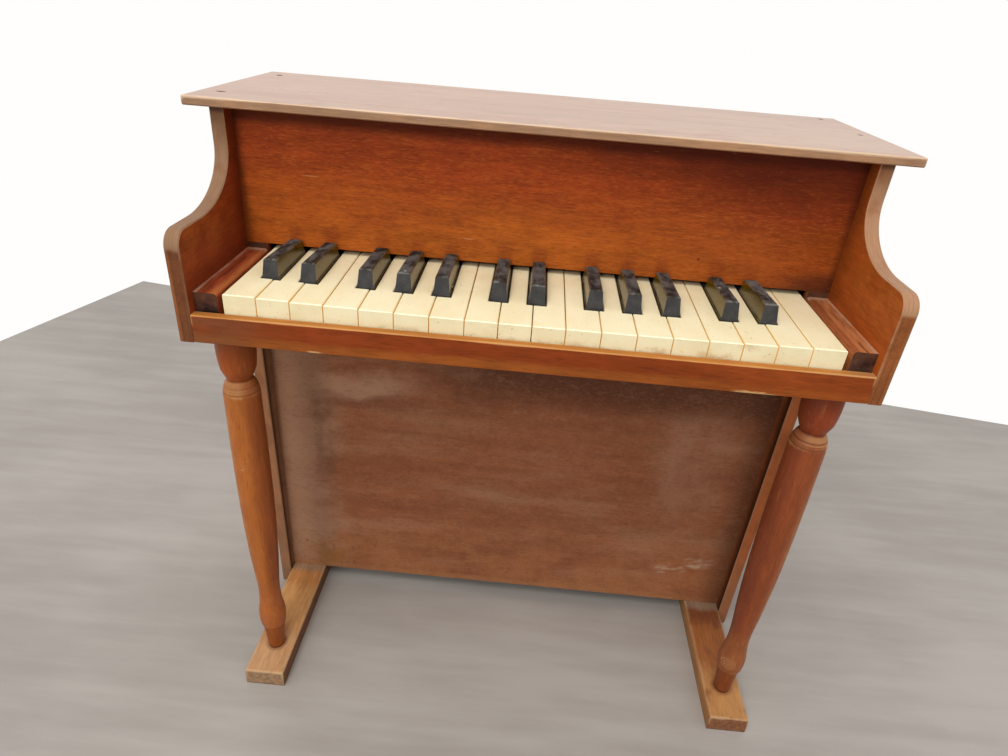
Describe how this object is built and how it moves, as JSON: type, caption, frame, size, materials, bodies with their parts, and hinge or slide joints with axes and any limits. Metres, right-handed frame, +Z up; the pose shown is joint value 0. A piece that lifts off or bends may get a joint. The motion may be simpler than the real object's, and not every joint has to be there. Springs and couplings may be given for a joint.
{
  "type": "toy piano",
  "caption": "Small upright toy piano of stained wood: keys on a common pivot rod strike steel tone rods inside a case with curved cheeks, turned legs and runner feet.",
  "frame": {"origin": "on the floor under the middle of the piano's overall box", "axes": "+Z up, +X along the keyboard to the player's right, +Y from the player towards the back"},
  "size_m": [0.4694, 0.242, 0.459],
  "materials": {
    "case_wood": "reddish-brown stain and worn satin varnish",
    "top_wood": "faded, dusty brown stain",
    "leg_wood": "orange-brown varnish on turned wood",
    "foot_wood": "worn light orange-brown varnish",
    "panel_wood": "thin dull reddish-brown board",
    "plain_wood": "bare softwood",
    "white_key_plastic": "aged cream moulding",
    "black_key_plastic": "dusty charcoal moulding",
    "steel": "plain drawn steel",
    "iron": "plain cast bar",
    "felt": "pressed felt"
  },
  "bodies": {
    "case": {"top_board": "top_wood", "left_side": "case_wood", "right_side": "case_wood", "fallboard": "case_wood", "key_slip": "case_wood", "key_bed": "case_wood", "left_key_block": "case_wood", "right_key_block": "case_wood", "left_leg": "leg_wood", "right_leg": "leg_wood", "left_foot": "foot_wood", "right_foot": "foot_wood", "knee_panel": "panel_wood", "back_panel": "panel_wood", "fallboard_cleats": "plain_wood", "knee_cleats": "plain_wood", "bed_cleats": "plain_wood", "key_pivot_rod": "steel", "left_pivot_bracket": "steel", "right_pivot_bracket": "steel", "down_stop_felt": "felt", "tail_rest_rail": "plain_wood", "tail_rest_felt": "felt", "tone_block": "iron", "tone_rods": "steel"},
    "white_key_01": {"white_key_01": "white_key_plastic"},
    "black_key_02": {"black_key_02": "black_key_plastic"},
    "white_key_03": {"white_key_03": "white_key_plastic"},
    "black_key_04": {"black_key_04": "black_key_plastic"},
    "white_key_05": {"white_key_05": "white_key_plastic"},
    "white_key_06": {"white_key_06": "white_key_plastic"},
    "black_key_07": {"black_key_07": "black_key_plastic"},
    "white_key_08": {"white_key_08": "white_key_plastic"},
    "black_key_09": {"black_key_09": "black_key_plastic"},
    "white_key_10": {"white_key_10": "white_key_plastic"},
    "black_key_11": {"black_key_11": "black_key_plastic"},
    "white_key_12": {"white_key_12": "white_key_plastic"},
    "white_key_13": {"white_key_13": "white_key_plastic"},
    "black_key_14": {"black_key_14": "black_key_plastic"},
    "white_key_15": {"white_key_15": "white_key_plastic"},
    "black_key_16": {"black_key_16": "black_key_plastic"},
    "white_key_17": {"white_key_17": "white_key_plastic"},
    "white_key_18": {"white_key_18": "white_key_plastic"},
    "black_key_19": {"black_key_19": "black_key_plastic"},
    "white_key_20": {"white_key_20": "white_key_plastic"},
    "black_key_21": {"black_key_21": "black_key_plastic"},
    "white_key_22": {"white_key_22": "white_key_plastic"},
    "black_key_23": {"black_key_23": "black_key_plastic"},
    "white_key_24": {"white_key_24": "white_key_plastic"},
    "white_key_25": {"white_key_25": "white_key_plastic"},
    "black_key_26": {"black_key_26": "black_key_plastic"},
    "white_key_27": {"white_key_27": "white_key_plastic"},
    "black_key_28": {"black_key_28": "black_key_plastic"},
    "white_key_29": {"white_key_29": "white_key_plastic"},
    "white_key_30": {"white_key_30": "white_key_plastic"}
  },
  "joints": [
    {"name": "white_key_01_pivot", "type": "hinge", "parent": "case", "child": "white_key_01", "pos_m": [-0.18838, 0.021, 0.34501], "axis": [1, 0, 0], "range_deg": [0, 3.35], "stiffness_Nm_per_rad": 0.1, "springref_deg": -14.32},
    {"name": "black_key_02_pivot", "type": "hinge", "parent": "case", "child": "black_key_02", "pos_m": [-0.17568, 0.021, 0.34501], "axis": [1, 0, 0], "range_deg": [0, 3.2], "stiffness_Nm_per_rad": 0.1, "springref_deg": -14.32},
    {"name": "white_key_03_pivot", "type": "hinge", "parent": "case", "child": "white_key_03", "pos_m": [-0.16298, 0.021, 0.34501], "axis": [1, 0, 0], "range_deg": [0, 3.06], "stiffness_Nm_per_rad": 0.1, "springref_deg": -14.32},
    {"name": "black_key_04_pivot", "type": "hinge", "parent": "case", "child": "black_key_04", "pos_m": [-0.15028, 0.021, 0.34501], "axis": [1, 0, 0], "range_deg": [0, 2.93], "stiffness_Nm_per_rad": 0.1, "springref_deg": -14.32},
    {"name": "white_key_05_pivot", "type": "hinge", "parent": "case", "child": "white_key_05", "pos_m": [-0.13758, 0.021, 0.34501], "axis": [1, 0, 0], "range_deg": [0, 2.81], "stiffness_Nm_per_rad": 0.1, "springref_deg": -14.32},
    {"name": "white_key_06_pivot", "type": "hinge", "parent": "case", "child": "white_key_06", "pos_m": [-0.12488, 0.021, 0.34501], "axis": [1, 0, 0], "range_deg": [0, 2.71], "stiffness_Nm_per_rad": 0.1, "springref_deg": -14.32},
    {"name": "black_key_07_pivot", "type": "hinge", "parent": "case", "child": "black_key_07", "pos_m": [-0.11218, 0.021, 0.34501], "axis": [1, 0, 0], "range_deg": [0, 2.61], "stiffness_Nm_per_rad": 0.1, "springref_deg": -14.32},
    {"name": "white_key_08_pivot", "type": "hinge", "parent": "case", "child": "white_key_08", "pos_m": [-0.09948, 0.021, 0.34501], "axis": [1, 0, 0], "range_deg": [0, 2.52], "stiffness_Nm_per_rad": 0.1, "springref_deg": -14.32},
    {"name": "black_key_09_pivot", "type": "hinge", "parent": "case", "child": "black_key_09", "pos_m": [-0.08678, 0.021, 0.34501], "axis": [1, 0, 0], "range_deg": [0, 2.44], "stiffness_Nm_per_rad": 0.1, "springref_deg": -14.32},
    {"name": "white_key_10_pivot", "type": "hinge", "parent": "case", "child": "white_key_10", "pos_m": [-0.07408, 0.021, 0.34501], "axis": [1, 0, 0], "range_deg": [0, 2.38], "stiffness_Nm_per_rad": 0.1, "springref_deg": -14.32},
    {"name": "black_key_11_pivot", "type": "hinge", "parent": "case", "child": "black_key_11", "pos_m": [-0.06138, 0.021, 0.34501], "axis": [1, 0, 0], "range_deg": [0, 2.32], "stiffness_Nm_per_rad": 0.1, "springref_deg": -14.32},
    {"name": "white_key_12_pivot", "type": "hinge", "parent": "case", "child": "white_key_12", "pos_m": [-0.04868, 0.021, 0.34501], "axis": [1, 0, 0], "range_deg": [0, 2.28], "stiffness_Nm_per_rad": 0.1, "springref_deg": -14.32},
    {"name": "white_key_13_pivot", "type": "hinge", "parent": "case", "child": "white_key_13", "pos_m": [-0.03598, 0.021, 0.34501], "axis": [1, 0, 0], "range_deg": [0, 2.24], "stiffness_Nm_per_rad": 0.1, "springref_deg": -14.32},
    {"name": "black_key_14_pivot", "type": "hinge", "parent": "case", "child": "black_key_14", "pos_m": [-0.02328, 0.021, 0.34501], "axis": [1, 0, 0], "range_deg": [0, 2.22], "stiffness_Nm_per_rad": 0.1, "springref_deg": -14.32},
    {"name": "white_key_15_pivot", "type": "hinge", "parent": "case", "child": "white_key_15", "pos_m": [-0.01058, 0.021, 0.34501], "axis": [1, 0, 0], "range_deg": [0, 2.2], "stiffness_Nm_per_rad": 0.1, "springref_deg": -14.32},
    {"name": "black_key_16_pivot", "type": "hinge", "parent": "case", "child": "black_key_16", "pos_m": [0.00212, 0.021, 0.34501], "axis": [1, 0, 0], "range_deg": [0, 2.2], "stiffness_Nm_per_rad": 0.1, "springref_deg": -14.32},
    {"name": "white_key_17_pivot", "type": "hinge", "parent": "case", "child": "white_key_17", "pos_m": [0.01482, 0.021, 0.34501], "axis": [1, 0, 0], "range_deg": [0, 2.21], "stiffness_Nm_per_rad": 0.1, "springref_deg": -14.32},
    {"name": "white_key_18_pivot", "type": "hinge", "parent": "case", "child": "white_key_18", "pos_m": [0.02752, 0.021, 0.34501], "axis": [1, 0, 0], "range_deg": [0, 2.22], "stiffness_Nm_per_rad": 0.1, "springref_deg": -14.32},
    {"name": "black_key_19_pivot", "type": "hinge", "parent": "case", "child": "black_key_19", "pos_m": [0.04022, 0.021, 0.34501], "axis": [1, 0, 0], "range_deg": [0, 2.25], "stiffness_Nm_per_rad": 0.1, "springref_deg": -14.32},
    {"name": "white_key_20_pivot", "type": "hinge", "parent": "case", "child": "white_key_20", "pos_m": [0.05292, 0.021, 0.34501], "axis": [1, 0, 0], "range_deg": [0, 2.29], "stiffness_Nm_per_rad": 0.1, "springref_deg": -14.32},
    {"name": "black_key_21_pivot", "type": "hinge", "parent": "case", "child": "black_key_21", "pos_m": [0.06562, 0.021, 0.34501], "axis": [1, 0, 0], "range_deg": [0, 2.34], "stiffness_Nm_per_rad": 0.1, "springref_deg": -14.32},
    {"name": "white_key_22_pivot", "type": "hinge", "parent": "case", "child": "white_key_22", "pos_m": [0.07832, 0.021, 0.34501], "axis": [1, 0, 0], "range_deg": [0, 2.4], "stiffness_Nm_per_rad": 0.1, "springref_deg": -14.32},
    {"name": "black_key_23_pivot", "type": "hinge", "parent": "case", "child": "black_key_23", "pos_m": [0.09102, 0.021, 0.34501], "axis": [1, 0, 0], "range_deg": [0, 2.47], "stiffness_Nm_per_rad": 0.1, "springref_deg": -14.32},
    {"name": "white_key_24_pivot", "type": "hinge", "parent": "case", "child": "white_key_24", "pos_m": [0.10372, 0.021, 0.34501], "axis": [1, 0, 0], "range_deg": [0, 2.55], "stiffness_Nm_per_rad": 0.1, "springref_deg": -14.32},
    {"name": "white_key_25_pivot", "type": "hinge", "parent": "case", "child": "white_key_25", "pos_m": [0.11642, 0.021, 0.34501], "axis": [1, 0, 0], "range_deg": [0, 2.64], "stiffness_Nm_per_rad": 0.1, "springref_deg": -14.32},
    {"name": "black_key_26_pivot", "type": "hinge", "parent": "case", "child": "black_key_26", "pos_m": [0.12912, 0.021, 0.34501], "axis": [1, 0, 0], "range_deg": [0, 2.74], "stiffness_Nm_per_rad": 0.1, "springref_deg": -14.32},
    {"name": "white_key_27_pivot", "type": "hinge", "parent": "case", "child": "white_key_27", "pos_m": [0.14182, 0.021, 0.34501], "axis": [1, 0, 0], "range_deg": [0, 2.85], "stiffness_Nm_per_rad": 0.1, "springref_deg": -14.32},
    {"name": "black_key_28_pivot", "type": "hinge", "parent": "case", "child": "black_key_28", "pos_m": [0.15452, 0.021, 0.34501], "axis": [1, 0, 0], "range_deg": [0, 2.98], "stiffness_Nm_per_rad": 0.1, "springref_deg": -14.32},
    {"name": "white_key_29_pivot", "type": "hinge", "parent": "case", "child": "white_key_29", "pos_m": [0.16722, 0.021, 0.34501], "axis": [1, 0, 0], "range_deg": [0, 3.11], "stiffness_Nm_per_rad": 0.1, "springref_deg": -14.32},
    {"name": "white_key_30_pivot", "type": "hinge", "parent": "case", "child": "white_key_30", "pos_m": [0.17992, 0.021, 0.34501], "axis": [1, 0, 0], "range_deg": [0, 3.25], "stiffness_Nm_per_rad": 0.1, "springref_deg": -14.32}
  ]
}
